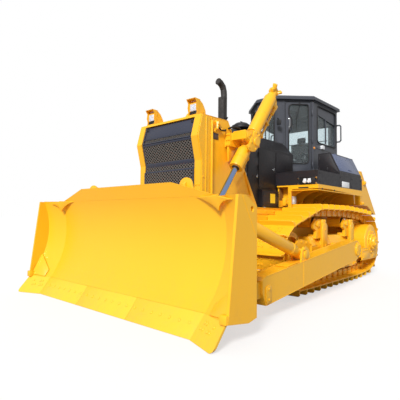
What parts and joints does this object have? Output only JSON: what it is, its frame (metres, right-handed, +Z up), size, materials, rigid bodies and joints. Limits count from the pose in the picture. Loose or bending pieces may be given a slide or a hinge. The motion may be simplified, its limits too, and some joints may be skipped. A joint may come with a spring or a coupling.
{
  "type": "track-type bulldozer",
  "caption": "Tracked bulldozer with a half-U blade on outside push arms, two lift cylinders, a pointed nose and a six-sided cab with opening doors.",
  "frame": {"origin": "on the ground at the middle of the machine's length and width", "axes": "+X forward, +Y to the machine's left, +Z up"},
  "size_m": [6.1972, 3.672, 3.3],
  "materials": {
    "machine_yellow": "satin paint",
    "edge_yellow": "satin paint",
    "engine_grey": "cast",
    "grille_blue_black": "satin paint",
    "panel_black": "satin paint",
    "exhaust_black": "heat-proof paint",
    "cab_grey": "satin paint",
    "glass": "clear",
    "seat_black": "vinyl",
    "console_grey": "matte",
    "rod_chrome": "polished",
    "under_dark": "satin paint"
  },
  "bodies": {
    "chassis": {"main_frame": "machine_yellow", "belly_guard": "under_dark", "engine_block": "engine_grey", "radiator_guard": "machine_yellow", "front_grille": "grille_blue_black", "headlights": "machine_yellow", "hood": "panel_black", "side_panels": "panel_black", "exhaust": "exhaust_black", "pre_cleaner": "panel_black", "cab_base": "panel_black", "cab_frame": "cab_grey", "cab_roof": "cab_grey", "cab_glass": "glass", "operator_seat": "seat_black", "cab_consoles": "console_grey", "fenders": "machine_yellow", "side_boxes": "panel_black", "fuel_tank": "machine_yellow", "drawbar": "machine_yellow", "grab_handles": "cab_grey", "track_left": "machine_yellow", "track_right": "machine_yellow", "track_frame_left": "machine_yellow", "track_frame_right": "machine_yellow", "idlers": "machine_yellow", "sprockets": "machine_yellow", "final_drives": "machine_yellow", "track_rollers": "machine_yellow", "carrier_rollers": "machine_yellow", "lift_yokes": "machine_yellow"},
    "blade": {"blade_mouldboard": "machine_yellow", "cutting_edge": "edge_yellow", "end_bits": "edge_yellow", "push_arms": "machine_yellow", "brace": "machine_yellow", "tilt_cylinder": "machine_yellow"},
    "barrel_left": {"lift_barrel_left": "machine_yellow"},
    "rod_left": {"lift_rod_left": "rod_chrome"},
    "door_left": {"cab_door_left": "cab_grey", "door_glass_left": "glass"},
    "barrel_right": {"lift_barrel_right": "machine_yellow"},
    "rod_right": {"lift_rod_right": "rod_chrome"},
    "door_right": {"cab_door_right": "cab_grey", "door_glass_right": "glass"}
  },
  "joints": [
    {"name": "blade_lift", "type": "hinge", "parent": "chassis", "child": "blade", "pos_m": [-0.6446, 0, 0.6], "axis": [0, -1, 0], "range_deg": [-8.4, 19]},
    {"name": "barrel_swing_left", "type": "hinge", "parent": "chassis", "child": "barrel_left", "pos_m": [1.1854, 0.8, 2.09], "axis": [0, -1, 0], "range_deg": [-9.4, 21.1]},
    {"name": "rod_slide_left", "type": "slide", "parent": "barrel_left", "child": "rod_left", "axis": [0.6045, 0, -0.7966], "range_m": [-0.775, 0.343]},
    {"name": "door_swing_left", "type": "hinge", "parent": "chassis", "child": "door_left", "pos_m": [-1.0194, 0.6686, 2.5], "axis": [0, 0, 1], "range_deg": [0, 70]},
    {"name": "barrel_swing_right", "type": "hinge", "parent": "chassis", "child": "barrel_right", "pos_m": [1.1854, -0.8, 2.09], "axis": [0, -1, 0], "range_deg": [-9.4, 21.1]},
    {"name": "rod_slide_right", "type": "slide", "parent": "barrel_right", "child": "rod_right", "axis": [0.6045, 0, -0.7966], "range_m": [-0.775, 0.343]},
    {"name": "door_swing_right", "type": "hinge", "parent": "chassis", "child": "door_right", "pos_m": [-1.0194, -0.6686, 2.5], "axis": [0, 0, -1], "range_deg": [0, 70]}
  ],
  "couplings": [
    {"joint": "barrel_swing_left", "follows": "blade_lift", "ratio": 1.103},
    {"joint": "rod_slide_left", "follows": "blade_lift", "m_per_rad": -2.33},
    {"joint": "barrel_swing_right", "follows": "blade_lift", "ratio": 1.103},
    {"joint": "rod_slide_right", "follows": "blade_lift", "m_per_rad": -2.33}
  ]
}
